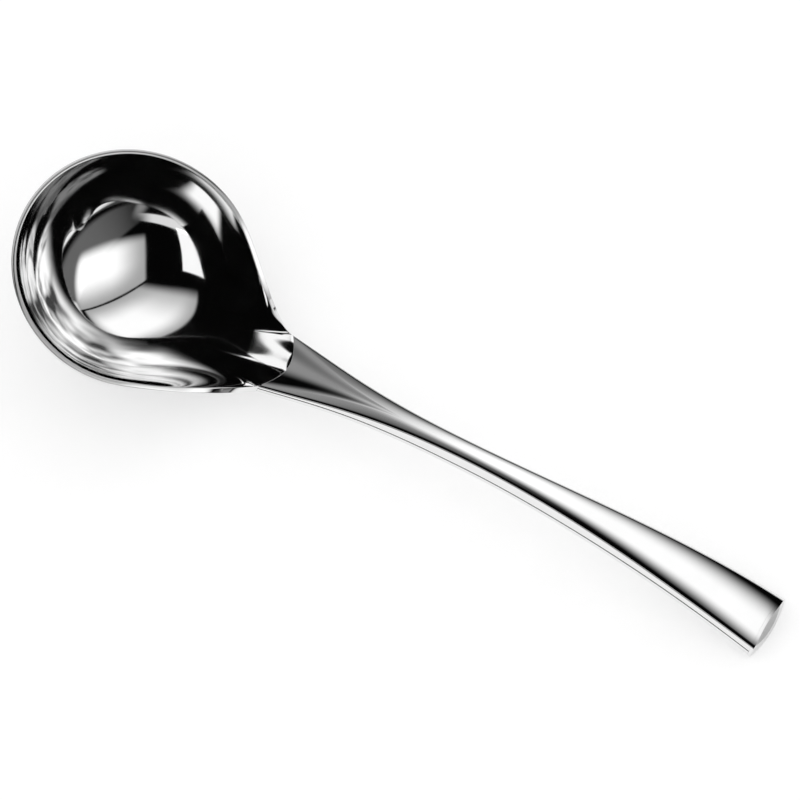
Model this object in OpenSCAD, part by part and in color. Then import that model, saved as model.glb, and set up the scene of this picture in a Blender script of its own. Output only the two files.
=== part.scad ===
// Soup ladle in polished stainless steel: a deep round bowl that draws out to a heel,
// and an arched hollow handle made of two pressed shells, a tang, a filling and an end plate.
// It lies on a table: +X along the handle, +Z up, origin under the bowl, where it touches the table.

/* [Bowl] */
// outside diameter of the rim
bowl_d = 90; // [80:1:105]
// outside depth of the bowl below its rim
bowl_depth = 38; // [32:1:44]
// thickness of the bowl wall
bowl_wall = 1.8; // [1.4:0.1:2.4]
// angle from the handle at which the rim leaves the circle
flare_angle = 63.5; // [56:0.5:71]
// how far the rim keeps its direction after it leaves the circle
flare_lead = 57; // [44:1:66]
// how far the rim runs straight into the handle edge
flare_run = 12; // [8:1:20]
// how far the rim dips between the circle and the heel
flare_dip = 4.5; // [1:0.1:6]
// how tightly the pear shape of the bowl closes on the handle
pear = 18; // [14:1:24]
// how late the round wall is drawn out to the heel
draw = 3; // [2.6:0.1:3.6]

/* [Handle line] */
// distance from the bowl axis to the start of the handle
heel_x = 65.7; // [60:0.1:72]
// height of the handle edges above the rim at the start
heel_rise = 6.8; // [5:0.1:9]
// distance from the bowl axis to the end of the handle
tip_x = 253.8; // [225:0.2:285]
// height of the handle end above the rim
tip_rise = 73.6; // [62:0.1:88]
// slope of the handle at the start
start_slope = 29; // [24:0.5:35]
// slope of the handle at the end
end_slope = -0.5; // [-4:0.5:5]
// pull of both ends on the curve of the handle
curve_pull = 66; // [56:1:74]

/* [Handle section] */
// width across the top edges at the heel
heel_w = 23.6; // [20:0.2:26]
// width across the top edges at the neck
neck_w = 7.0; // [6.6:0.1:9]
// width across the top edges at the end
tip_w = 21; // [18:0.2:24]
// place of the neck, as a part of the handle
neck_at = 0.38; // [0.32:0.01:0.44]
// height of the side wall at the heel
heel_side = 3.0; // [2.9:0.1:3.8]
// height of the side wall at the neck
neck_side = 5.8; // [5.2:0.1:7]
// height of the side wall at the end
tip_side = 4.2; // [3.2:0.1:5]
// lean of the side walls at the neck
neck_draft = 23; // [17:1:28]
// lean of the side walls at the end
tip_draft = 27; // [20:1:32]
// height of the crown on top, as a part of the half width
crown = 0.16; // [0.1:0.01:0.2]
// depth of the hollow on top of the handle at the heel
hollow = 2.1; // [1.6:0.1:2.3]
// length of the hollow, as a part of the handle
hollow_end = 0.27; // [0.22:0.01:0.34]
// belly of the underside at the heel
heel_belly = 1.5; // [1.4:0.1:2]
// belly of the underside at the neck
neck_belly = 1.0; // [0.6:0.1:1.6]
// belly of the underside at the end
tip_belly = 1.2; // [0.8:0.1:2.4]
// how far the heel edge bows towards the handle
heel_bow = 5; // [3:0.1:6]
// length over which the bow of the heel edge fades
bow_fade = 0.14; // [0.1:0.01:0.2]
// lean of the end face in its middle
tip_slant = 30; // [20:1:36]
// how much less the end face leans at its corners
tip_square = 0.55; // [0.2:0.05:0.6]
// rounding of the top edges
edge_r = 0.7; // [0.4:0.05:0.9]

/* [Shells, tang and filling] */
// thickness of the two pressed shells
shell_t = 0.8; // [0.6:0.05:0.85]
// height of the lower shell on the side walls
seam_h = 1.8; // [1.4:0.1:1.9]
// gap of the seam between the shells
seam_gap = 0.06; // [0.04:0.01:0.1]
// thickness of the end plate
cap_t = 1.2; // [0.8:0.1:2]
// gap at welded faces
weld_gap = 0.03; // [0.02:0.01:0.06]
// gap round the filling and the tang
fill_gap = 0.04; // [0.02:0.01:0.06]
// width of the tang at the heel
tang_heel_w = 9; // [6:0.2:11]
// width of the tang along the handle
tang_w = 3.6; // [3:0.1:4]
// thickness of the tang at the heel
tang_heel_t = 0.7; // [0.5:0.05:0.8]
// thickness of the tang along the handle
tang_t = 2; // [1.4:0.1:2.4]
// length of the tang, as a part of the handle
tang_end = 0.52; // [0.4:0.01:0.7]

/* [Hidden] */
steel = [0.80, 0.81, 0.82];
filler = [0.60, 0.58, 0.55];
bowl_r = bowl_d / 2;
stations = 36;
top_steps = 12;
corner_steps = 3;
bowl_rows = 11;
arc_cols = 40;
flare_cols = 9;
tang_steps = 20;
rest_steps = 120;
// crown that is left at the heel, as a part of the crown further on
heel_crown = 0.4;
// how late the wall takes on the outline of the rim
draw_edge = 6;
// how fast the heel narrows, and how much the handle still widens at its end
heel_power = 2.2;
end_flare = 0.75;
handle_len = 3 * curve_pull;
// handle start and end, and the two points that pull the curve
line = [
    [heel_x, heel_rise],
    [heel_x, heel_rise] + curve_pull * [cos(start_slope), sin(start_slope)],
    [tip_x, tip_rise] - curve_pull * [cos(end_slope), sin(end_slope)],
    [tip_x, tip_rise]
];
cap_start = 1 - cap_t / handle_len;
weld_step = weld_gap / handle_len;

// smooth step from 0 to 1
function ease(v) = let (c = min(1, max(0, v))) c * c * (3 - 2 * c);
function mix(a, b, v) = a + (b - a) * v;
function span(n) = [for (i = [0:n]) i / n];

// handle line in the plane of symmetry: place, direction and upward normal at t
function line_at(t) =
    let (s = 1 - t)
    s * s * s * line[0] + 3 * s * s * t * line[1] + 3 * s * t * t * line[2] + t * t * t * line[3];
function line_dir(t) =
    let (
        s = 1 - t,
        d = s * s * (line[1] - line[0]) + 2 * s * t * (line[2] - line[1]) + t * t * (line[3] - line[2])
    )
    d / norm(d);

// sizes of the section at t
function widen(v) = v * v * (3 - end_flare - (2 - end_flare) * v);
function half_w(t) =
    t < neck_at
    ? (neck_w + (heel_w - neck_w) * pow(1 - t / neck_at, heel_power)) / 2
    : mix(neck_w, tip_w, widen((t - neck_at) / (1 - neck_at))) / 2;
function side(t) =
    mix(heel_side, neck_side, ease(t / neck_at)) + (tip_side - neck_side) * ease((t - 0.5) / 0.42);
function draft(t) = mix(neck_draft, tip_draft, ease((t - 0.5) / 0.5));
function crown_at(t) = crown * half_w(t) * mix(heel_crown, 1, ease(t / hollow_end));
function belly(t) =
    mix(heel_belly, neck_belly, ease(t / neck_at)) + (tip_belly - neck_belly) * ease((t - 0.55) / 0.45);
function foot_w(t) = half_w(t) + side(t) * tan(draft(t));
// height of the top at y: a crown, with a hollow that narrows from the heel on
function top_n(t, y) =
    let (
        s = y / half_w(t),
        left = max(0.02, 1 - t / hollow_end),
        dip = max(0, 1 - pow(s / left, 2))
    )
    crown_at(t) * (1 - s * s) - hollow * left * left * dip * dip;

// a point of the section at t, y across and n along the normal of the handle line
function place(t, p) =
    let (
        o = line_at(t),
        d = line_dir(t),
        bow = -heel_bow * pow(p[0] / half_w(0), 2) * pow(max(0, 1 - t / bow_fade), 2),
        slant = tan(tip_slant) * (1 - tip_square * pow(p[0] / wall_y(1, p[1], 0), 2)),
        lean = -p[1] * slant * ease((t - 0.84) / 0.16),
        q = o + (bow + lean) * d + p[1] * [-d[1], d[0]]
    )
    [q[0], p[0], q[1]];

// side wall of the section at height n, set in by c
function wall_y(t, n, c) = half_w(t) - n * tan(draft(t)) - c / cos(draft(t));
// top of the section, set in by c, with rounded edges of radius r
function top_curve(t, c, r) =
    let (
        w = wall_y(t, -c, c),
        flat = w - r,
        corner = [w, -c],
        from = [flat, top_n(t, flat) - c],
        to = [wall_y(t, -c - r, c), -c - r],
        bend = [
            for (v = span(corner_steps))
            pow(1 - v, 2) * from + 2 * v * (1 - v) * corner + v * v * to
        ]
    )
    concat(
        [for (i = [corner_steps:-1:1]) [-bend[i][0], bend[i][1]]],
        [
            for (v = span(top_steps))
            let (y = (2 * v - 1) * flat)
            [y, top_n(t, y) - c]
        ],
        [for (i = [1:corner_steps]) bend[i]]
    );
// underside of the section, set in by c
function under_curve(t, c) =
    let (w = wall_y(t, c - side(t), c))
    [
        for (v = span(top_steps + 2 * corner_steps))
        let (y = (2 * v - 1) * w)
        [y, c - side(t) - belly(t) * (1 - pow(y / foot_w(t), 2))]
    ];
// rounding of the top edges that leaves a straight wall above the seam
function edge_at(t, c) = max(0.02, min(edge_r, 0.8 * (side(t) - seam_h - seam_gap - c)));
// upper shell: the top with its side walls down to the seam
function upper_curve(t, c) =
    let (
        n = seam_h + seam_gap / 2 - side(t),
        w = wall_y(t, n, c)
    )
    concat([[-w, n]], top_curve(t, c, edge_at(t, c)), [[w, n]]);
// lower shell: the underside with its flanks up to the seam
function lower_curve(t, c) =
    let (
        n = seam_h - seam_gap / 2 - side(t),
        w = wall_y(t, n, c)
    )
    concat([[-w, n]], under_curve(t, c), [[w, n]]);
// tang section, a flat bar in the middle of the cavity
function tang_curve(t, up, c) =
    let (
        v = ease(t / neck_at),
        w = mix(tang_heel_w, tang_w, v) / 2 + c,
        h = mix(tang_heel_t, tang_t, v) / 2 + c,
        mid = (top_n(t, 0) - side(t) - belly(t)) / 2
    )
    [for (v = span(4)) [(2 * v - 1) * w, mid + up * h]];

// bowl: places of the inner and outer rim, from the heel corner at +y round to the one at -y
function heel_point(i, up) =
    let (s = 1 - 2 * i / (top_steps + 2 * corner_steps))
    up > 0
    ? place(0, [s * half_w(0), top_n(0, s * half_w(0))])
    : place(0, [s * foot_w(0), -side(0) - belly(0) * (1 - s * s)]);
corner = heel_point(0, 1);
// the rim runs on into the narrowing edge of the handle
narrowing = heel_power * (heel_w - neck_w) / 2 / neck_at / handle_len;
corner_dir = [line_dir(0)[0], -narrowing, 0];
leave = bowl_r * [cos(flare_angle), sin(flare_angle), 0];
leave_dir = [sin(flare_angle), -cos(flare_angle), 0];
// rim edge between the circle, v = 0, and the heel corner, v = 1: it dips, then climbs to the handle
function flare_plan(v) =
    (2 * v * v * v - 3 * v * v + 1) * leave
    + (v * v * v - 2 * v * v + v) * flare_lead * leave_dir
    + (3 * v * v - 2 * v * v * v) * corner
    + (v * v * v - v * v) * flare_run * corner_dir;
function flare(v) =
    let (p = flare_plan(v))
    [p[0], p[1], corner[2] * pow(v, 5) - flare_dip * pow(sin(180 * v), 2)];
function flare_out(v) =
    let (d = flare(v + 0.01) - flare(v - 0.01), l = norm([d[0], d[1]]))
    [-d[1], d[0], 0] / l;
corner_drop = heel_point(0, -1) - corner;
// each column: inner rim and outer rim
function flare_col(v, s) =
    let (
        e = ease((v - 0.35) / 0.65),
        p = flare(v),
        inner = p - bowl_wall * (1 - e) * flare_out(v),
        outer = p + e * corner_drop
    )
    [[inner[0], s * inner[1], inner[2]], [outer[0], s * outer[1], outer[2]]];
rim_cols = concat(
    [
        for (i = [0:arc_cols])
        let (a = mix(flare_angle, 360 - flare_angle, i / arc_cols), d = [cos(a), sin(a), 0])
        [(bowl_r - bowl_wall) * d, bowl_r * d]
    ],
    [for (i = [1:flare_cols - 1]) flare_col(1 - (flare_cols - i) / flare_cols, -1)],
    [
        for (i = [top_steps + 2 * corner_steps:-1:0])
        [heel_point(i, 1), heel_point(i, -1)]
    ],
    [for (i = [1:flare_cols - 1]) flare_col(1 - i / flare_cols, 1)]
);
inner_sweep = 2 * atan((bowl_depth - bowl_wall) / (bowl_r - bowl_wall));
outer_sweep = 2 * atan(bowl_depth / bowl_r);
heel_mid = top_steps / 2 + corner_steps;
// wall of the bowl from the middle of its floor to a rim point: a round bowl, drawn out to a pear and the rim
function bowl_wall_point(rim, r0, tip, floor_z, sweep, u) =
    let (
        d = [rim[0], rim[1], 0] / norm([rim[0], rim[1]]),
        g = pow((1 + d[0]) / 2, pear),
        ball = r0 / sin(sweep),
        round_wall = ball * sin(u * sweep) * d + [0, 0, floor_z + ball * (1 - cos(u * sweep))],
        pear_rim = mix(r0, tip[0], g) * d + [0, 0, tip[2] * g]
    )
    round_wall + (mix(pear_rim, rim, pow(u, draw_edge)) - r0 * d) * pow(u, draw);
function bowl_side(k, r0, tip, floor_z, sweep) = [
    for (i = [1:bowl_rows])
    [for (c = rim_cols) bowl_wall_point(c[k], r0, tip, floor_z, sweep, i / bowl_rows)]
];

// lying on the table: the bottom of the bowl and the handle end carry the ladle
heel_under = heel_point(heel_mid, -1);
tip_point = place(1, [0, -side(1) - belly(1)]);
keel = [
    for (u = span(rest_steps))
    bowl_wall_point(heel_under, bowl_r, heel_under, -bowl_depth, outer_sweep, u)
];
function drop(a) = max([for (p = keel) p[0] * sin(a) - p[2] * cos(a)]);
function rest_angle(a, n) =
    n == 0
    ? a
    : rest_angle(atan2(tip_point[2], tip_point[0]) + asin(drop(a) / norm(tip_point)), n - 1);
tilt = rest_angle(20, 12);
// middle of the round bowl, which is above its lowest point
ball_z = bowl_r / sin(outer_sweep) - bowl_depth;

// puts a piece from the frame of the rim onto the table
module on_table() {
    translate([-ball_z * sin(tilt), 0, drop(tilt)])
        rotate([0, tilt, 0])
            children();
}

// closed body between two sheets of points with the same rows and columns
module between(a, b) {
    rows = len(a);
    cols = len(a[0]);
    n = rows * cols;
    points = concat([for (r = a) each r], [for (r = b) each r]);
    sheet = [
        for (i = [0:rows - 2], j = [0:cols - 2])
        let (p = i * cols + j)
        each [[p, p + 1, p + cols], [p + 1, p + cols + 1, p + cols]]
    ];
    back = [for (f = sheet) [f[0] + n, f[2] + n, f[1] + n]];
    border = concat(
        [for (j = [0:cols - 1]) j],
        [for (i = [1:rows - 1]) i * cols + cols - 1],
        [for (j = [cols - 2:-1:0]) (rows - 1) * cols + j],
        [for (i = [rows - 2:-1:1]) i * cols]
    );
    rim = [
        for (k = [0:len(border) - 1])
        let (p = border[k], q = border[(k + 1) % len(border)])
        each [[q, p, q + n], [p, p + n, q + n]]
    ];
    polyhedron(points, concat(sheet, back, rim), convexity = 8);
}

// rows of places along the handle from t0 to t1
function along(t0, t1, n) = [for (v = span(n)) mix(t0, t1, v)];
shell_ts = along(2 * weld_step, cap_start - weld_step, stations);

module bowl() {
    a = bowl_side(0, bowl_r - bowl_wall, heel_point(heel_mid, 1), bowl_wall - bowl_depth, inner_sweep);
    b = bowl_side(1, bowl_r, heel_under, -bowl_depth, outer_sweep);
    cols = len(rim_cols);
    n = bowl_rows * cols;
    points = concat(
        [for (r = a) each r],
        [for (r = b) each r],
        [[0, 0, bowl_wall - bowl_depth], [0, 0, -bowl_depth]]
    );
    sheet = [
        for (i = [0:bowl_rows - 2], j = [0:cols - 1])
        let (k = (j + 1) % cols, p = i * cols + j, q = i * cols + k)
        each [[p, p + cols, q], [q, p + cols, q + cols]]
    ];
    floor_fan = [for (j = [0:cols - 1]) [2 * n, j, (j + 1) % cols]];
    back = [for (f = sheet) [f[0] + n, f[2] + n, f[1] + n]];
    back_fan = [for (f = floor_fan) [f[0] + 1, f[2] + n, f[1] + n]];
    rim = [
        for (j = [0:cols - 1])
        let (p = n - cols + j, q = n - cols + (j + 1) % cols)
        each [[p, p + n, q], [q, p + n, q + n]]
    ];
    color(steel)
        on_table()
            polyhedron(points, concat(sheet, floor_fan, back, back_fan, rim), convexity = 8);
}

module handle_upper_shell() {
    color(steel)
        on_table()
            between(
                [for (t = shell_ts) [for (p = upper_curve(t, 0)) place(t, p)]],
                [for (t = shell_ts) [for (p = upper_curve(t, shell_t)) place(t, p)]]
            );
}

module handle_lower_shell() {
    color(steel)
        on_table()
            between(
                [for (t = shell_ts) [for (p = lower_curve(t, shell_t)) place(t, p)]],
                [for (t = shell_ts) [for (p = lower_curve(t, 0)) place(t, p)]]
            );
}

module handle_end_cap() {
    color(steel)
        on_table()
            between(
                [for (t = [cap_start, 1]) [for (p = top_curve(t, 0, edge_at(t, 0))) place(t, p)]],
                [for (t = [cap_start, 1]) [for (p = under_curve(t, 0)) place(t, p)]]
            );
}

// bar from t0 to t1, larger by c all round
module tang_bar(t0, t1, c) {
    between(
        [for (t = along(t0, t1, tang_steps)) [for (p = tang_curve(t, 1, c)) place(t, p)]],
        [for (t = along(t0, t1, tang_steps)) [for (p = tang_curve(t, -1, c)) place(t, p)]]
    );
}

module tang() {
    color(steel)
        on_table()
            tang_bar(2 * weld_step, tang_end, 0);
}

module handle_filling() {
    c = shell_t + fill_gap;
    ends = along(6 * weld_step, cap_start - 2 * weld_step, stations);
    color(filler)
        on_table()
            difference() {
                between(
                    [for (t = ends) [for (p = top_curve(t, c, edge_at(t, shell_t))) place(t, p)]],
                    [for (t = ends) [for (p = under_curve(t, c)) place(t, p)]]
                );
                tang_bar(-0.02, tang_end + weld_step, fill_gap);
            }
}

bowl();
tang();
handle_upper_shell();
handle_lower_shell();
handle_end_cap();
handle_filling();
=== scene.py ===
"""Soup ladle in mirror-polished stainless steel, lying on a pale studio floor."""

import math

import bpy
import numpy as np
from mathutils import Matrix, Vector


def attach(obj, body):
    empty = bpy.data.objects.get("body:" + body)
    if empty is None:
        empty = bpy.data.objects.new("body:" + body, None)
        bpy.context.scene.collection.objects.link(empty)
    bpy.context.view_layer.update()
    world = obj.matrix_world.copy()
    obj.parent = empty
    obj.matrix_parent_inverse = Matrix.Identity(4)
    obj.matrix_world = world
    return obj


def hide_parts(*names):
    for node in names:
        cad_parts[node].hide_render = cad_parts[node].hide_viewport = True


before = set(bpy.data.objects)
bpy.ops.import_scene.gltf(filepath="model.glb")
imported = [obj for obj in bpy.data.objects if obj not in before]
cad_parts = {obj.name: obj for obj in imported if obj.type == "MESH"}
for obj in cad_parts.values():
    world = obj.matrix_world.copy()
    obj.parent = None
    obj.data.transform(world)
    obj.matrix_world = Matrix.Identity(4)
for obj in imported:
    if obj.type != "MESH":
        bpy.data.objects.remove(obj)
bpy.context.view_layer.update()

MM = 0.001

# Bowl, in millimetres
BOWL_R = 45.0
BOWL_DEPTH = 38.0
BOWL_WALL = 1.8
# Rim from the circle to the handle: where it leaves, how far it keeps its direction, its run and its dip
FLARE_ANGLE = math.radians(63.5)
FLARE_LEAD = 57.0
FLARE_RUN = 12.0
FLARE_DIP = 4.5
# How late the rim climbs to the handle, and where it starts to turn into the handle's side
FLARE_CLIMB, FLARE_TURN = 5, 0.35
# How tightly the pear shape closes on the handle, and how late the wall is drawn out and follows the rim
PEAR = 18
DRAW, DRAW_EDGE = 3.0, 6.0
# Rounding of the rim's edges, the part of it that is left at the heel, and its most, as a part of the rim
LIP_ROUND, HEEL_LIP, LIP_MOST = 0.4, 0.2, 0.45
# Length of the wall from the middle of the floor to the rim, and its last row below the rounding
WALL_RUN, WALL_END = 65.0, 0.985

# Line of the handle, in the frame of the rim, and the pull of both ends on its curve
HEEL_X, HEEL_RISE = 65.7, 6.8
TIP_X, TIP_RISE = 253.8, 73.6
START_SLOPE, END_SLOPE = math.radians(29), math.radians(-0.5)
CURVE_PULL = 66.0

# Section of the handle: widths over its top edges, how fast the heel narrows and how the end still widens
HEEL_W, NECK_W, TIP_W = 23.6, 7.0, 21.0
NECK_AT = 0.38
HEEL_POWER, END_FLARE = 2.2, 0.75
# Heights of the side walls, and their lean
HEEL_SIDE, NECK_SIDE, TIP_SIDE = 3.0, 5.8, 4.2
NECK_DRAFT, TIP_DRAFT = math.radians(23), math.radians(27)
# Crown of the top, as a part of half the width, and the part of it that is left at the heel
CROWN, HEEL_CROWN = 0.16, 0.4
# Hollow of the top: depth at the heel, length as a part of the handle, least width as a part of the top
HOLLOW, HOLLOW_END, HOLLOW_LEAST = 2.1, 0.27, 0.02
# Belly of the underside
HEEL_BELLY, NECK_BELLY, TIP_BELLY = 1.5, 1.0, 1.2
# Bow of the heel edge and where it ends, lean of the end face and how much less it leans at its corners
HEEL_BOW, BOW_FADE = 5.0, 0.14
TIP_SLANT, TIP_SQUARE = math.radians(30), 0.55
# Where the side wall, its lean, the belly and the slant change towards the end, as parts of the handle
SIDE_FROM, SIDE_CHANGE = 0.5, 0.42
DRAFT_FROM, BELLY_FROM, SLANT_FROM = 0.5, 0.55, 0.84
# Rounding of the top edges, its least, and its most as a part of the upper shell's wall
EDGE_R, EDGE_LEAST, EDGE_MOST = 0.7, 0.02, 0.8
# Two shells with their seam, its rolled lips and the rounded foot, and the end plate
SHELL_T = 0.8
SEAM_H, SEAM_GAP = 1.8, 0.06
SEAM_ROUND, FOOT_ROUND = 0.25, 0.6
CAP_T, WELD_GAP = 1.2, 0.03

# Fineness of the meshes
TOP_STEPS, CORNER_STEPS, SIDE_STEPS, LIP_STEPS = 48, 6, 5, 4
STATIONS, CAP_STATIONS = 320, 8
WALL_ROWS, RIM_STEPS = 72, 5
ARC_COLS, FLARE_COLS = 150, 44
FLARE_STEP = 0.01
SHARP_ANGLE = math.radians(40)

# Search for the angle at which the ladle lies: places along its keel, first angle and rounds
KEEL_STEPS = 120
FIRST_TILT = math.radians(20)
TILT_ROUNDS = 12


def ease(v):
    """Smooth step from 0 to 1."""
    c = min(1.0, max(0.0, v))
    return c * c * (3 - 2 * c)


def mix(a, b, v):
    return a + (b - a) * v


def span(n, start=0.0, end=1.0):
    return [mix(start, end, i / n) for i in range(n + 1)]


# Handle line in the plane of symmetry
HANDLE_LEN = 3 * CURVE_PULL
LINE = [np.array(p) for p in (
    (HEEL_X, HEEL_RISE),
    (HEEL_X + CURVE_PULL * math.cos(START_SLOPE), HEEL_RISE + CURVE_PULL * math.sin(START_SLOPE)),
    (TIP_X - CURVE_PULL * math.cos(END_SLOPE), TIP_RISE - CURVE_PULL * math.sin(END_SLOPE)),
    (TIP_X, TIP_RISE),
)]
CAP_START = 1 - CAP_T / HANDLE_LEN
WELD_STEP = WELD_GAP / HANDLE_LEN


def line_at(t):
    s = 1 - t
    return s**3 * LINE[0] + 3 * s * s * t * LINE[1] + 3 * s * t * t * LINE[2] + t**3 * LINE[3]


def line_dir(t):
    s = 1 - t
    d = s * s * (LINE[1] - LINE[0]) + 2 * s * t * (LINE[2] - LINE[1]) + t * t * (LINE[3] - LINE[2])
    return d / np.linalg.norm(d)


# Sizes of the section at t, from 0 at the heel to 1 at the end
def half_w(t):
    if t < NECK_AT:
        return (NECK_W + (HEEL_W - NECK_W) * (1 - t / NECK_AT) ** HEEL_POWER) / 2
    v = (t - NECK_AT) / (1 - NECK_AT)
    return mix(NECK_W, TIP_W, v * v * (3 - END_FLARE - (2 - END_FLARE) * v)) / 2


def side(t):
    near_tip = (TIP_SIDE - NECK_SIDE) * ease((t - SIDE_FROM) / SIDE_CHANGE)
    return mix(HEEL_SIDE, NECK_SIDE, ease(t / NECK_AT)) + near_tip


def draft(t):
    return mix(NECK_DRAFT, TIP_DRAFT, ease((t - DRAFT_FROM) / (1 - DRAFT_FROM)))


def belly(t):
    near_tip = (TIP_BELLY - NECK_BELLY) * ease((t - BELLY_FROM) / (1 - BELLY_FROM))
    return mix(HEEL_BELLY, NECK_BELLY, ease(t / NECK_AT)) + near_tip


def foot_w(t):
    return half_w(t) + side(t) * math.tan(draft(t))


def wall_y(t, n, c):
    """Side wall of the section at height n, set in by c."""
    return half_w(t) - n * math.tan(draft(t)) - c / math.cos(draft(t))


def place(t, y, n):
    """Point of the section at t, y across and n along the normal of the handle line."""
    d = line_dir(t)
    bow = -HEEL_BOW * (y / half_w(0)) ** 2 * max(0.0, 1 - t / BOW_FADE) ** 2
    slant = math.tan(TIP_SLANT) * (1 - TIP_SQUARE * (y / wall_y(1, n, 0)) ** 2)
    lean = -n * slant * ease((t - SLANT_FROM) / (1 - SLANT_FROM))
    q = line_at(t) + (bow + lean) * d + n * np.array((-d[1], d[0]))
    return (q[0], y, q[1])


def edge_at(t, c):
    """Rounding of the top edges where the section is set in by c."""
    return max(EDGE_LEAST, min(EDGE_R, EDGE_MOST * (side(t) - SEAM_H - SEAM_GAP - c)))


def top_n(t, y):
    """Height of the top at y: a crown, with a hollow that narrows from the heel on."""
    s = y / half_w(t)
    left = max(HOLLOW_LEAST, 1 - t / HOLLOW_END)
    dip = max(0.0, 1 - (s / left) ** 2)
    crown = CROWN * half_w(t) * mix(HEEL_CROWN, 1, ease(t / HOLLOW_END))
    return crown * (1 - s * s) - HOLLOW * left * left * dip * dip


def under_n(t, y, c):
    """Height of the underside at y, set in by c."""
    return c - side(t) - belly(t) * (1 - (y / foot_w(t)) ** 2)


def bend(a, b, c, steps):
    """Rounded corner b between a and c."""
    a, b, c = (np.array(p, float) for p in (a, b, c))
    return [tuple((1 - v) ** 2 * a + 2 * v * (1 - v) * b + v * v * c) for v in span(steps)]


def both_sides(middle, right):
    """Curve from left to right: a middle part, and a right part that is mirrored on the left."""
    return [(-y, n) for y, n in right[::-1]] + middle + right


def top_curve(t, c):
    """Top of the section with rounded edges."""
    r = edge_at(t, c)
    w = wall_y(t, -c, c)
    flat = w - r
    edge = bend((flat, top_n(t, flat) - c), (w, -c), (wall_y(t, -c - r, c), -c - r), CORNER_STEPS)
    return both_sides([(y, top_n(t, y) - c) for y in span(TOP_STEPS, -flat, flat)], edge[1:])


def under_curve(t, c):
    """Underside of the section, with as many points as its top."""
    w = wall_y(t, c - side(t), c)
    return [(y, under_n(t, y, c)) for y in span(TOP_STEPS + 2 * CORNER_STEPS, -w, w)]


def rolled_lip(t, c, n, r):
    """Lip of a shell at the seam height n, rolled in by r. The wall is above it where r is positive."""
    seam_y = wall_y(t, n, c)
    return bend((wall_y(t, n + r, c), n + r), (seam_y, n), (seam_y - abs(r), n), LIP_STEPS)


def flank(t, c, start_n, lip):
    """Side wall from a height to its lip."""
    return [(wall_y(t, n, c), n) for n in span(SIDE_STEPS, start_n, lip[0][1])[1:-1]] + lip


def upper_curve(t, c):
    """Upper shell: the top with its side walls down to the seam."""
    top = top_curve(t, c)
    lip = rolled_lip(t, c, SEAM_H + SEAM_GAP / 2 - side(t), SEAM_ROUND)
    return both_sides(top, flank(t, c, top[-1][1], lip))


def lower_curve(t, c):
    """Lower shell: the underside with its rounded feet and side walls up to the seam."""
    foot = wall_y(t, c - side(t), c)
    flat = foot - FOOT_ROUND
    foot_n = under_n(t, foot, c)
    wall_n = foot_n + FOOT_ROUND
    corner = bend((flat, foot_n), (foot, foot_n), (wall_y(t, wall_n, c), wall_n), CORNER_STEPS)
    lip = rolled_lip(t, c, SEAM_H - SEAM_GAP / 2 - side(t), -SEAM_ROUND)
    middle = [(y, under_n(t, y, c)) for y in span(TOP_STEPS, -flat, flat)]
    return both_sides(middle, corner[1:] + flank(t, c, wall_n, lip))


def heel_point(s, up):
    """Place on the heel edge, s from -1 to 1 across, on the inside or the outside of the bowl."""
    if up:
        return np.array(place(0, s * half_w(0), top_n(0, s * half_w(0))))
    return np.array(place(0, s * foot_w(0), under_n(0, s * foot_w(0), 0)))


def wall_point(rim, r0, tip, floor_z, u):
    """Wall of the bowl from the middle of its floor, u = 0, to a rim point, u = 1.

    A ball near the floor, which is drawn out to a pear that reaches the tip, and takes on the rim last."""
    d = np.array((rim[0], rim[1], 0)) / math.hypot(rim[0], rim[1])
    up = np.array((0, 0, 1))
    g = ((1 + d[0]) / 2) ** PEAR
    sweep = 2 * math.atan(-floor_z / r0)
    ball = r0 / math.sin(sweep)
    round_wall = ball * math.sin(u * sweep) * d + (floor_z + ball * (1 - math.cos(u * sweep))) * up
    pear_rim = mix(r0, tip[0], g) * d + tip[2] * g * up
    return round_wall + (mix(pear_rim, rim, u**DRAW_EDGE) - r0 * d) * u**DRAW


# Lying on the table: the bottom of the bowl and the handle end carry the ladle
heel_under = heel_point(0, False)
tip_under = place(1, 0, under_n(1, 0, 0))
KEEL = [wall_point(heel_under, BOWL_R, heel_under, -BOWL_DEPTH, u) for u in span(KEEL_STEPS)]


def drop(a):
    """How far the bowl reaches below the middle of the rim when the ladle is tilted by a."""
    return max(p[0] * math.sin(a) - p[2] * math.cos(a) for p in KEEL)


tip_angle = math.atan2(tip_under[2], tip_under[0])
tip_reach = math.hypot(tip_under[0], tip_under[2])
tilt = FIRST_TILT
for _ in range(TILT_ROUNDS):
    tilt = tip_angle + math.asin(drop(tilt) / tip_reach)
BALL_Z = BOWL_R / math.sin(2 * math.atan(BOWL_DEPTH / BOWL_R)) - BOWL_DEPTH
SHIFT = (-BALL_Z * math.sin(tilt), 0.0, drop(tilt))
# From the frame of the rim, in millimetres, to the table, in metres
TO_TABLE = Matrix.Scale(MM, 4) @ Matrix.Translation(SHIFT) @ Matrix.Rotation(tilt, 4, "Y")


def add_piece(name, points, faces):
    """Mesh object from points in the frame of the rim, smooth but for its sharp edges."""
    mesh = bpy.data.meshes.new(name)
    mesh.from_pydata([TO_TABLE @ Vector(p) for p in points], [], faces)
    mesh.validate()
    mesh.shade_smooth()
    mesh.set_sharp_from_angle(angle=SHARP_ANGLE)
    piece = bpy.data.objects.new(name, mesh)
    bpy.context.collection.objects.link(piece)
    return piece


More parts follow.
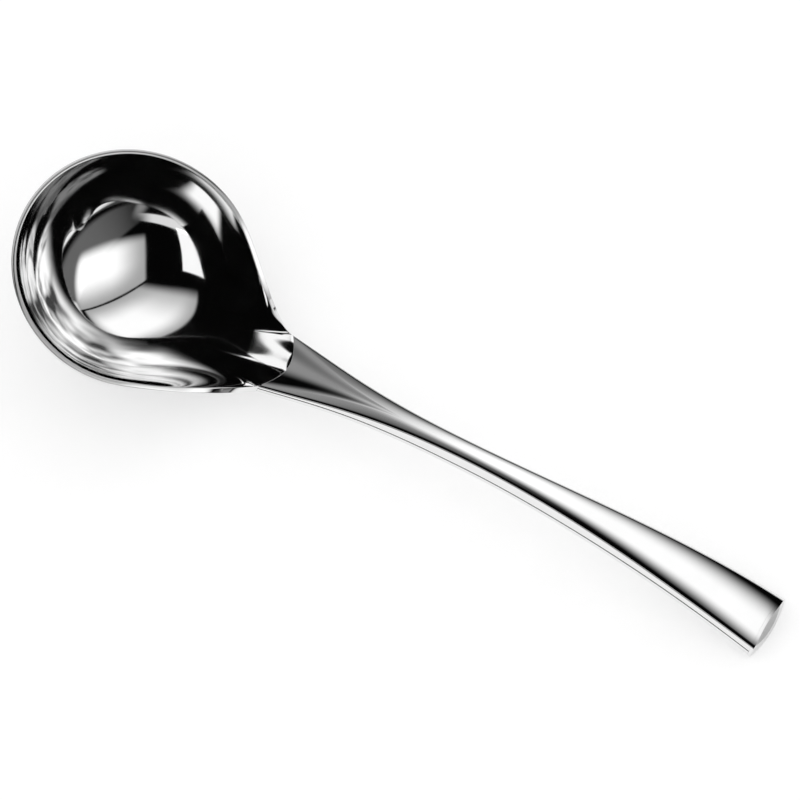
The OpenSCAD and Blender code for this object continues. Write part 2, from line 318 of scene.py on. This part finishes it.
def between(rows_a, rows_b):
    """Closed body between two sheets of points with the same rows and columns, a on the upper side."""
    rows, cols = len(rows_a), len(rows_a[0])
    n = rows * cols
    points = [p for row in rows_a for p in row] + [p for row in rows_b for p in row]
    faces = []
    for i in range(rows - 1):
        for j in range(cols - 1):
            p = i * cols + j
            faces.append((p, p + cols, p + cols + 1, p + 1))
            faces.append((p + n, p + 1 + n, p + cols + 1 + n, p + cols + n))
    border = list(range(cols))
    border += [i * cols + cols - 1 for i in range(1, rows)]
    border += [(rows - 1) * cols + j for j in range(cols - 2, -1, -1)]
    border += [i * cols for i in range(rows - 2, 0, -1)]
    for p, q in zip(border, border[1:] + border[:1]):
        faces.append((p, q, q + n, p + n))
    return points, faces


def along(curve, c, start, end, steps):
    """Rows of points on the handle, from one place to another, of a curve that is set in by c."""
    return [[place(t, y, n) for y, n in curve(t, c)] for t in span(steps, start, end)]


def shell_skin(curve, c):
    """Skin of a shell, between its welds to the bowl and to the end plate."""
    return along(curve, c, 2 * WELD_STEP, CAP_START - WELD_STEP, STATIONS)


# Bowl: places of the inner and the outer rim, round from the flare on one side to the other
CORNER = heel_point(1, True)
CORNER_DROP = heel_point(1, False) - CORNER
NARROWING = HEEL_POWER * (HEEL_W - NECK_W) / 2 / NECK_AT / HANDLE_LEN
CORNER_DIR = np.array((math.cos(START_SLOPE), -NARROWING, 0))
LEAVE = BOWL_R * np.array((math.cos(FLARE_ANGLE), math.sin(FLARE_ANGLE), 0))
LEAVE_DIR = np.array((math.sin(FLARE_ANGLE), -math.cos(FLARE_ANGLE), 0))


def flare(v):
    """Rim edge from the circle, v = 0, to the heel corner, v = 1: it dips, then climbs to the handle."""
    p = (2 * v**3 - 3 * v * v + 1) * LEAVE + (v**3 - 2 * v * v + v) * FLARE_LEAD * LEAVE_DIR
    p = p + (3 * v * v - 2 * v**3) * CORNER + (v**3 - v * v) * FLARE_RUN * CORNER_DIR
    return np.array((p[0], p[1], CORNER[2] * v**FLARE_CLIMB - FLARE_DIP * math.sin(math.pi * v) ** 2))


def flare_col(v, s):
    """Inner rim, outer rim and share of the heel at one place of the flare, on side s."""
    e = ease((v - FLARE_TURN) / (1 - FLARE_TURN))
    d = flare(v + FLARE_STEP) - flare(v - FLARE_STEP)
    outward = np.array((-d[1], d[0], 0)) / math.hypot(d[0], d[1])
    inner = flare(v) - BOWL_WALL * (1 - e) * outward
    outer = flare(v) + e * CORNER_DROP
    flip = np.array((1, s, 1))
    return inner * flip, outer * flip, e


def rim_cols():
    """Inner rim, outer rim and share of the heel, all round the bowl."""
    cols = []
    for a in span(ARC_COLS, FLARE_ANGLE, 2 * math.pi - FLARE_ANGLE):
        d = np.array((math.cos(a), math.sin(a), 0))
        cols.append(((BOWL_R - BOWL_WALL) * d, BOWL_R * d, 0.0))
    cols += [flare_col(v, -1) for v in span(FLARE_COLS)[1:-1]]
    cols += [(heel_point(s, True), heel_point(s, False), 1.0) for s in span(TOP_STEPS, -1, 1)]
    cols += [flare_col(v, 1) for v in span(FLARE_COLS)[-2:0:-1]]
    return cols


def bowl_mesh():
    """Bowl in strips, each from the middle of the inside over the rim to the middle of the outside."""
    floor_in = BOWL_WALL - BOWL_DEPTH
    inner_skin = BOWL_R - BOWL_WALL, heel_point(0, True), floor_in
    outer_skin = BOWL_R, heel_point(0, False), -BOWL_DEPTH
    shares = span(WALL_ROWS, 1 / WALL_ROWS, WALL_END)
    strips = []
    for inner, outer, heel in rim_cols():
        lip = LIP_ROUND * mix(1, HEEL_LIP, heel)
        below_lip = 1 - lip / WALL_RUN
        across = min(LIP_MOST, lip / np.linalg.norm(outer - inner))
        inner_edge = wall_point(inner, *inner_skin, below_lip)
        outer_edge = wall_point(outer, *outer_skin, below_lip)
        strip = [wall_point(inner, *inner_skin, u) for u in shares]
        strip += bend(inner_edge, inner, mix(inner, outer, across), RIM_STEPS)
        strip += bend(mix(outer, inner, across), outer, outer_edge, RIM_STEPS)
        strip += [wall_point(outer, *outer_skin, u) for u in shares[::-1]]
        strips.append(strip)
    cols, rows = len(strips), len(strips[0])
    points = [tuple(p) for strip in strips for p in strip] + [(0, 0, floor_in), (0, 0, -BOWL_DEPTH)]
    middle_in, middle_out = cols * rows, cols * rows + 1
    faces = []
    for j in range(cols):
        p, q = j * rows, (j + 1) % cols * rows
        faces += [(p + i, p + i + 1, q + i + 1, q + i) for i in range(rows - 1)]
        faces += [(middle_in, p, q), (middle_out, q + rows - 1, p + rows - 1)]
    return points, faces


bowl = add_piece("ladle_bowl", *bowl_mesh())
upper_shell = add_piece(
    "handle_top_shell", *between(shell_skin(upper_curve, 0), shell_skin(upper_curve, SHELL_T))
)
lower_shell = add_piece(
    "handle_under_shell", *between(shell_skin(lower_curve, SHELL_T), shell_skin(lower_curve, 0))
)
end_cap = add_piece(
    "handle_end_plate",
    *between(
        along(top_curve, 0, CAP_START, 1, CAP_STATIONS),
        along(under_curve, 0, CAP_START, 1, CAP_STATIONS),
    ),
)


# Finishes
def linear(hex_colour):
    """sRGB hex to linear RGBA."""
    channels = [int(hex_colour[i:i + 2], 16) / 255 for i in (1, 3, 5)]
    return tuple(c / 12.92 if c <= 0.04045 else ((c + 0.055) / 1.055) ** 2.4 for c in channels) + (1.0,)


def add_node(tree, kind, settings=None, **inputs):
    """Adds a node with its settings and its inputs, each a value or the socket that feeds it.

    An input goes by its name, with _ for a space, or as i0, i1 and so on by its number."""
    node = tree.nodes.new(kind)
    for key, value in (settings or {}).items():
        setattr(node, key, value)
    for key, value in inputs.items():
        by_number = key[0] == "i" and key[1:].isdigit()
        socket = node.inputs[int(key[1:]) if by_number else key.replace("_", " ")]
        if isinstance(value, bpy.types.NodeSocket):
            tree.links.new(value, socket)
        else:
            socket.default_value = value
    return node


def new_material(name):
    material = bpy.data.materials.new(name)
    material.use_nodes = True
    material.node_tree.nodes.clear()
    return material, material.node_tree


# Settings of nodes
COLOURS = {"data_type": "RGBA"}
TIMES, APART = {"operation": "MULTIPLY"}, {"operation": "DISTANCE"}
BELOW, ABOVE = {"operation": "LESS_THAN"}, {"operation": "GREATER_THAN"}
SMOOTH = {"interpolation_type": "SMOOTHSTEP"}
# Middle part of a noise, where most of its values lie
NOISE_LOW, NOISE_HIGH = 0.3, 0.7

# Mirror polish: waves to a millimetre along each axis, and depths in millimetres
POLISH_WAVES, POLISH_WAVE_DEPTH = (0.055, 0.055, 0.055), 0.05
HAZE_WAVES = 0.12, 0.12, 0.12
POLISH_ROUGHNESS = 0.03, 0.07
# Buffing lines run across the bowl and along the handle, drawn coarser than the real ones so that they show
BOWL_LINES, HANDLE_LINES, LINE_DEPTH = (1.6, 0.12, 1.6), (0.08, 1.8, 1.8), 0.0004


def mirror_steel(name, lines_per_mm):
    """Mirror-polished 18/10 stainless steel: a bright neutral mirror, softly uneven, with faint lines."""
    material, tree = new_material(name)
    spot = add_node(tree, "ShaderNodeTexCoord").outputs["Object"]
    noises = []
    for per_mm, detail in ((POLISH_WAVES, 1.0), (lines_per_mm, 3.0), (HAZE_WAVES, 4.0)):
        scaled = add_node(tree, "ShaderNodeVectorMath", TIMES, i0=spot, i1=[w / MM for w in per_mm])
        noise = add_node(tree, "ShaderNodeTexNoise", Vector=scaled.outputs[0], Scale=1.0, Detail=detail)
        noises.append(noise.outputs[0])
    waves, lines, haze = noises
    uneven = add_node(tree, "ShaderNodeBump", Height=waves, Strength=1.0, Distance=POLISH_WAVE_DEPTH * MM)
    lined = add_node(
        tree,
        "ShaderNodeBump",
        Height=lines,
        Strength=1.0,
        Distance=LINE_DEPTH * MM,
        Normal=uneven.outputs[0],
    )
    tone = add_node(tree, "ShaderNodeMix", COLOURS, i0=haze, i6=linear("#EBEBEB"), i7=linear("#F3F3F3"))
    rough = add_node(
        tree,
        "ShaderNodeMapRange",
        Value=haze,
        From_Min=NOISE_LOW,
        From_Max=NOISE_HIGH,
        To_Min=POLISH_ROUGHNESS[0],
        To_Max=POLISH_ROUGHNESS[1],
    )
    shader = add_node(
        tree,
        "ShaderNodeBsdfPrincipled",
        Base_Color=tone.outputs[2],
        Metallic=1.0,
        Roughness=rough.outputs[0],
        Normal=lined.outputs[0],
    )
    add_node(tree, "ShaderNodeOutputMaterial", Surface=shader.outputs["BSDF"])
    return material


# Hidden materials: how far their roughness varies either way
DULL_VARIES = 0.1


def dull_material(name, dark, light, per_mm, rough, depth_mm, metal):
    """Dull material inside the handle: specks or lines of two tones, which are also uneven to the touch."""
    material, tree = new_material(name)
    spot = add_node(tree, "ShaderNodeTexCoord").outputs["Object"]
    scaled = add_node(tree, "ShaderNodeVectorMath", TIMES, i0=spot, i1=[w / MM for w in per_mm])
    noise = add_node(tree, "ShaderNodeTexNoise", Vector=scaled.outputs[0], Scale=1.0, Detail=4.0)
    speck = noise.outputs[0]
    tone = add_node(tree, "ShaderNodeMix", COLOURS, i0=speck, i6=linear(dark), i7=linear(light))
    gloss = add_node(
        tree,
        "ShaderNodeMapRange",
        Value=speck,
        From_Min=NOISE_LOW,
        From_Max=NOISE_HIGH,
        To_Min=rough - DULL_VARIES,
        To_Max=rough + DULL_VARIES,
    )
    uneven = add_node(tree, "ShaderNodeBump", Height=speck, Strength=1.0, Distance=depth_mm * MM)
    shader = add_node(
        tree,
        "ShaderNodeBsdfPrincipled",
        Base_Color=tone.outputs[2],
        Metallic=metal,
        Roughness=gloss.outputs[0],
        Normal=uneven.outputs[0],
    )
    add_node(tree, "ShaderNodeOutputMaterial", Surface=shader.outputs["BSDF"])
    return material


bowl_steel = mirror_steel("mirror_polished_stainless_steel_bowl", BOWL_LINES)
handle_steel = mirror_steel("mirror_polished_stainless_steel_handle", HANDLE_LINES)
for piece, node, slot, steel in (
    (bowl, "bowl", "bowl_steel", bowl_steel),
    (upper_shell, "handle_upper_shell", "handle_steel", handle_steel),
    (lower_shell, "handle_lower_shell", "handle_steel", handle_steel),
    (end_cap, "handle_end_cap", "handle_steel", handle_steel),
):
    piece.data.materials.append(steel)
    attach(piece, "root")
    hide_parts(node)
# Rolled steel with its mill lines, and cast resin with mineral grains, both shut inside the handle
rolled_steel = dull_material(
    "mill_finish_stainless_steel",
    dark="#9A9A98",
    light="#B4B4B1",
    per_mm=(0.2, 2.0, 2.0),
    rough=0.4,
    depth_mm=0.005,
    metal=1.0,
)
cast_resin = dull_material(
    "mineral_filled_resin",
    dark="#8F8A80",
    light="#BDB7AA",
    per_mm=(1.2, 1.2, 1.2),
    rough=0.8,
    depth_mm=0.05,
    metal=0.0,
)
for node, material in (("tang", rolled_steel), ("handle_filling", cast_resin)):
    for cad_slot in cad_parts[node].material_slots:
        cad_slot.material = material

# Camera, worked out from the rim's ellipse and the handle's edges in the picture
IMAGE_PX = 800
SENSOR_MM = 36.0
RIM_PX = (134.7, 267.1)
PX_PER_MM = 2.758
CAMERA_MM = 1500.0
# Right and up of the picture, in the frame of the rim
image_right = Vector((0.8195, 0.5255, 0.229)).normalized()
image_up = Vector((-0.5716, 0.7793, 0.253))
image_up = (image_up - image_right * image_right.dot(image_up)).normalized()
to_camera = image_right.cross(image_up)
aim_right = (IMAGE_PX / 2 - RIM_PX[0]) / PX_PER_MM
aim_up = -(IMAGE_PX / 2 - RIM_PX[1]) / PX_PER_MM
camera_at = image_right * aim_right + image_up * aim_up + to_camera * CAMERA_MM
camera_turn = Matrix((image_right, image_up, to_camera)).transposed().to_4x4()
camera_data = bpy.data.cameras.new("camera")
camera_data.sensor_width = SENSOR_MM
camera_data.lens = PX_PER_MM * CAMERA_MM * SENSOR_MM / IMAGE_PX
camera_data.clip_end = 100
camera = bpy.data.objects.new("camera", camera_data)
bpy.context.collection.objects.link(camera)
camera.matrix_world = Matrix.Translation(TO_TABLE @ camera_at) @ Matrix.Rotation(tilt, 4, "Y") @ camera_turn
bpy.context.scene.camera = camera


# Studio, in metres. Corners of a sheet go round it
def level(height, *spots):
    return [(x, y, height) for x, y in spots]


def box_corners(x0, x1, y0, y1):
    return (x0, y0), (x1, y0), (x1, y1), (x0, y1)


def standing(start, end, low, high):
    """Corners of an upright sheet from one spot of the floor to another."""
    return [(*start, low), (*end, low), (*end, high), (*start, high)]


def add_stage(name, corners, material, steps=1):
    """Sheet of the studio, not part of the object, with a map from 0 to 1 both ways."""
    a, b, c, d = (Vector(p) for p in corners)
    points = [a.lerp(b, u).lerp(d.lerp(c, u), v) for v in span(steps) for u in span(steps)]
    n = steps + 1
    starts = [i * n + j for i in range(steps) for j in range(steps)]
    mesh = bpy.data.meshes.new(name)
    mesh.from_pydata(points, [], [(p, p + 1, p + 1 + n, p + n) for p in starts])
    flat_map = mesh.uv_layers.new(name="map")
    for loop in mesh.loops:
        i, j = divmod(loop.vertex_index, n)
        flat_map.data[loop.index].uv = (j / steps, i / steps)
    mesh.materials.append(material)
    sheet = bpy.data.objects.new(name, mesh)
    bpy.context.collection.objects.link(sheet)
    return sheet


def show_only_in_steel(sheet):
    for ray in ("camera", "diffuse", "shadow", "transmission", "volume_scatter"):
        setattr(sheet, "visible_" + ray, False)


# Matt laminate floor: white to the camera, with a soft shadow. To glossy rays its colour is a painted pool
# of light round the ladle, white near it and darker farther off
FLOOR_HALF = 0.6
# Specks in waves to a metre, and the light that lifts the floor to white for the camera
FLOOR_SPECKS, FLOOR_LIFT = 40.0, 0.48
# Painted pool of light: how far the ladle reaches, and the distances from it at which the painted white
# starts to dim and ends
LADLE_REACH = 0.26
PAINTED_POOL_INNER, PAINTED_POOL_OUTER = 0.06, 0.2
floor_white, tree = new_material("matt_white_laminate_floor")
path = add_node(tree, "ShaderNodeLightPath").outputs
speck = add_node(tree, "ShaderNodeTexNoise", Scale=FLOOR_SPECKS, Detail=3.0).outputs[0]
tone = add_node(tree, "ShaderNodeMix", COLOURS, i0=speck, i6=linear("#C2C2C2"), i7=linear("#C8C8C8"))
ground = add_node(tree, "ShaderNodeTexCoord").outputs["Object"]
ground_x = add_node(tree, "ShaderNodeSeparateXYZ", Vector=ground).outputs["X"]
ladle_x = add_node(tree, "ShaderNodeClamp", Value=ground_x, Max=LADLE_REACH)
under_ladle = add_node(tree, "ShaderNodeCombineXYZ", X=ladle_x.outputs[0])
away = add_node(tree, "ShaderNodeVectorMath", APART, i0=ground, i1=under_ladle.outputs[0]).outputs["Value"]
dim = add_node(tree, "ShaderNodeMapRange", SMOOTH, Value=away, From_Min=PAINTED_POOL_INNER, From_Max=PAINTED_POOL_OUTER)
# Painted pool of light: the floor colour that glossy rays see, white near the ladle and darker farther off
painted_light_pool = add_node(
    tree, "ShaderNodeMix", COLOURS, i0=dim.outputs[0], i6=linear("#FFFFFF"), i7=linear("#404040")
)
pale = add_node(
    tree, "ShaderNodeMix", COLOURS, i0=path["Is Glossy Ray"], i6=tone.outputs[2], i7=painted_light_pool.outputs[2]
)
matt = add_node(tree, "ShaderNodeBsdfDiffuse", Color=pale.outputs[2])
lift = add_node(tree, "ShaderNodeMath", TIMES, i0=path["Is Camera Ray"], i1=FLOOR_LIFT)
glow = add_node(tree, "ShaderNodeEmission", Color=linear("#FFFFFF"), Strength=lift.outputs[0])
lifted = add_node(tree, "ShaderNodeAddShader", i0=matt.outputs[0], i1=glow.outputs[0])
add_node(tree, "ShaderNodeOutputMaterial", Surface=lifted.outputs[0])
add_stage("floor", level(0.0, *box_corners(-FLOOR_HALF, FLOOR_HALF, -FLOOR_HALF, FLOOR_HALF)), floor_white)

# Reflections in which a card shows, and the Ray Depth that parts the first ones from the later ones
ALL, FIRST, LATER = "all", "first", "later"
FIRST_DEPTH = 1.5
CARD_STEPS = 12
# Cloth on a card: the part of the noise that makes its folds, and the light that is left in them
FOLD_LOW, FOLD_HIGH, FOLD_LIGHT = 0.36, 0.56, 0.05


def receivers(name, *pieces):
    """Collection of the pieces that a card lights."""
    group = bpy.data.collections.new(name)
    for piece in pieces:
        group.objects.link(piece)
    return group


def light_card(name, group, shows_in, corners, fade, strength, folds=0.0):
    """Lit white cloth on a card, an even white that only the polished steel of a group sees.

    Fade is the soft part of the edges 4-1, 2-3, 1-2 and 3-4 between corners, as a part of half the card.
    Folds are the waves to a metre of the cloth."""
    material, tree = new_material("lit_white_cloth_" + name)
    spot = add_node(tree, "ShaderNodeTexCoord").outputs
    axes = add_node(tree, "ShaderNodeSeparateXYZ", Vector=spot["UV"]).outputs
    shares = []
    for k, soft in enumerate(fade):
        start, end = (0.0, soft / 2) if k % 2 == 0 else (1.0, 1.0 - soft / 2)
        shares.append(
            add_node(tree, "ShaderNodeMapRange", SMOOTH, Value=axes[k // 2], From_Min=start, From_Max=end)
        )
    if shows_in != ALL:
        depth = add_node(tree, "ShaderNodeLightPath").outputs["Ray Depth"]
        test = BELOW if shows_in == FIRST else ABOVE
        shares.append(add_node(tree, "ShaderNodeMath", test, i0=depth, i1=FIRST_DEPTH))
    if folds:
        cloth = add_node(tree, "ShaderNodeTexNoise", Vector=spot["Object"], Scale=folds, Detail=2.0)
        shares.append(
            add_node(
                tree,
                "ShaderNodeMapRange",
                Value=cloth.outputs[0],
                From_Min=FOLD_LOW,
                From_Max=FOLD_HIGH,
                To_Min=FOLD_LIGHT,
            )
        )
    light = strength
    for share in shares:
        light = add_node(tree, "ShaderNodeMath", TIMES, i0=share.outputs[0], i1=light).outputs[0]
    emission = add_node(tree, "ShaderNodeEmission", Color=linear("#FFFFFF"), Strength=light)
    clear = add_node(tree, "ShaderNodeBsdfTransparent")
    card = add_node(tree, "ShaderNodeAddShader", i0=clear.outputs[0], i1=emission.outputs[0])
    add_node(tree, "ShaderNodeOutputMaterial", Surface=card.outputs[0])
    sheet = add_stage(name, corners, material, CARD_STEPS)
    show_only_in_steel(sheet)
    sheet.light_linking.receiver_collection = group


on_bowl = receivers("bowl_pieces", bowl)
on_handle = receivers("handle_pieces", upper_shell, lower_shell, end_cap)

# Over the handle: one close above it for its bright middle, one high up for the grey of its hollow
light_card(
    "card_handle", on_handle, ALL,
    level(0.135, (-0.02, 0.019), (0.36, -0.06), (0.36, 0.175), (-0.02, 0.175)),
    fade=(0.8, 0.16, 0.45, 1.2), strength=1.15,
)
light_card(
    "card_hollow", on_handle, ALL,
    level(1.1, *box_corners(-1.7, 0.055, -0.36, 1.32)),
    fade=(0.3, 0.5, 0.67, 1.1), strength=0.29,
)

# Over the bowl: two large cards, each with a brighter core just above it, for the two fields on its floor
NORTH = (-0.85, -0.47), (0.11, -0.12), (1.0, 2.0), (-0.65, 2.0)
light_card("card_north", on_bowl, FIRST, level(1.0, *NORTH), fade=(0.1, 0.04, 0.2, 0.3), strength=0.45)
light_card("card_north_core", on_bowl, FIRST, level(1.02, *NORTH), fade=(0.6, 0.8, 0.7, 0.7), strength=0.7)
EAST = (0.12, -0.16), (0.8, -1.35), (4.4, 0.9), (1.4, 2.85)
light_card("card_east", on_bowl, FIRST, level(1.04, *EAST), fade=(0.03, 0.7, 0.05, 0.5), strength=0.42)
light_card("card_east_core", on_bowl, FIRST, level(1.06, *EAST), fade=(0.7, 0.9, 0.5, 0.7), strength=0.8)

# Round the bowl: a dim one in the east, a strip in the south, and two with crisp edges in the west
light_card(
    "card_far_east", on_bowl, FIRST,
    standing((1.25, -2.2), (1.25, 2.6), low=0.02, high=0.98),
    fade=(1.0, 0.5, 0.3, 0.3), strength=0.14,
)
light_card(
    "card_south", on_bowl, FIRST,
    standing((-1.0, -1.2), (0.95, -1.2), low=0.36, high=0.62),
    fade=(0.3, 0.5, 0.3, 0.3), strength=0.8,
)
light_card(
    "card_window", on_bowl, FIRST,
    level(1.0, (-0.9, -2.4), (0.0, -2.2), (-0.41, -0.58), (-1.1, -0.75)),
    fade=(0.05, 0.05, 0.05, 0.05), strength=1.1,
)
light_card(
    "card_west", on_bowl, FIRST,
    level(1.0, *box_corners(-2.17, -1.73, -0.2, 1.2)),
    fade=(0.1, 0.1, 0.1, 0.1), strength=1.1,
)

# For later reflections in the bowl: two with folded cloth for the streaks on its wall, and a soft band
light_card(
    "card_ring", on_bowl, LATER,
    level(0.08, (-0.06, 0.016), (0.14, -0.02), (0.14, 0.143), (-0.06, 0.143)),
    fade=(0.3, 0.3, 0.3, 0.3), strength=1.4, folds=30.0,
)
light_card(
    "card_ring_east", on_bowl, LATER,
    standing((1.3, -1.1), (1.3, -0.15), low=0.15, high=1.1),
    fade=(0.4, 0.4, 0.4, 0.4), strength=0.25, folds=3.0,
)
light_card(
    "card_band", on_bowl, LATER,
    level(0.085, (-0.03, -0.13), (0.024, -0.13), (0.022, -0.022), (0.0, -0.022)),
    fade=(0.5, 0.5, 0.2, 0.5), strength=1.3,
)

# Standing all round, on the sides and across the corners: light on the handle when it is seen from the side
LOW_BOX = box_corners(-1.2, 1.4, -1.3, 1.3)
CORNER_ENDS = (
    ((0.72, 0.78), (1.15, 0.2)),
    ((-1.0, 0.35), (-0.66, 0.8)),
    ((-0.56, -0.92), (-1.0, -0.35)),
    ((1.15, -0.2), (0.72, -0.78)),
)
for k, ends in enumerate(zip(LOW_BOX, LOW_BOX[1:] + LOW_BOX[:1])):
    light_card(
        f"card_low_{k}", on_handle, ALL,
        standing(*ends, low=0.02, high=0.5),
        fade=(0.3, 0.3, 0.2, 1.2), strength=0.6,
    )
for k, ends in enumerate(CORNER_ENDS):
    light_card(
        f"card_corner_{k}", on_handle, ALL,
        standing(*ends, low=0.06, high=0.62),
        fade=(0.6, 0.6, 0.3, 0.6), strength=0.65,
    )

# Low on both sides: light on the rim near the heel
RIM_SOUTH_Y = -1.25
RIM_SOUTH = (0.58, -0.42), (1.3, 0.58), (0.98, 0.82), (0.26, -0.18)
light_card(
    "card_rim_south", on_bowl, FIRST,
    [(x, RIM_SOUTH_Y, z) for x, z in RIM_SOUTH],
    fade=(0.1, 1.0, 0.9, 0.9), strength=0.24,
)
light_card(
    "card_rim_north", on_bowl, FIRST,
    standing((0.1, 1.25), (0.9, 1.25), low=-0.15, high=0.6),
    fade=(0.3, 0.3, 0.05, 0.3), strength=0.8,
)

# Black sheet over the bowl, seen in later reflections alone: painted shade in the reflection, which keeps
# the right of the heel dark
painted_dark_reflection, tree = new_material("painted_dark_reflection_sheet")
depth = add_node(tree, "ShaderNodeLightPath").outputs["Ray Depth"]
later = add_node(tree, "ShaderNodeMath", ABOVE, i0=depth, i1=FIRST_DEPTH).outputs[0]
clear = add_node(tree, "ShaderNodeBsdfTransparent")
black = add_node(tree, "ShaderNodeBsdfDiffuse", Color=linear("#050505"))
shader = add_node(tree, "ShaderNodeMixShader", Fac=later, i1=clear.outputs[0], i2=black.outputs[0])
add_node(tree, "ShaderNodeOutputMaterial", Surface=shader.outputs[0])
shade = add_stage("shade", standing((-0.005, -0.03), (-0.005, 0.012), low=0.052, high=0.0785), painted_dark_reflection)
show_only_in_steel(shade)

# Grey card on the floor, seen in the steel alone: a painted shadow of the handle's end on the floor, which
# darkens the end face of the handle
painted_shadow_grey, tree = new_material("painted_shadow_floor_card")
shader = add_node(tree, "ShaderNodeBsdfDiffuse", Color=linear("#D0D0D0"))
add_node(tree, "ShaderNodeOutputMaterial", Surface=shader.outputs["BSDF"])
painted_shadow_card = add_stage("painted_shadow_card", level(0.0004, *box_corners(0.2606, 0.275, -0.016, 0.016)), painted_shadow_grey)
show_only_in_steel(painted_shadow_card)

# Studio light: even white light on the floor, a dark room in the mirror finish
world = bpy.data.worlds.new("studio")
bpy.context.scene.world = world
world.use_nodes = True
tree = world.node_tree
tree.nodes.clear()
in_steel = add_node(tree, "ShaderNodeLightPath").outputs["Is Glossy Ray"]
white = add_node(tree, "ShaderNodeBackground", Color=linear("#FFFFFF"), Strength=1.0)
dark = add_node(tree, "ShaderNodeBackground", Color=linear("#050505"), Strength=1.0)
room = add_node(tree, "ShaderNodeMixShader", Fac=in_steel, i1=white.outputs[0], i2=dark.outputs[0])
add_node(tree, "ShaderNodeOutputWorld", Surface=room.outputs[0])
bpy.context.scene.view_settings.view_transform = "Standard"
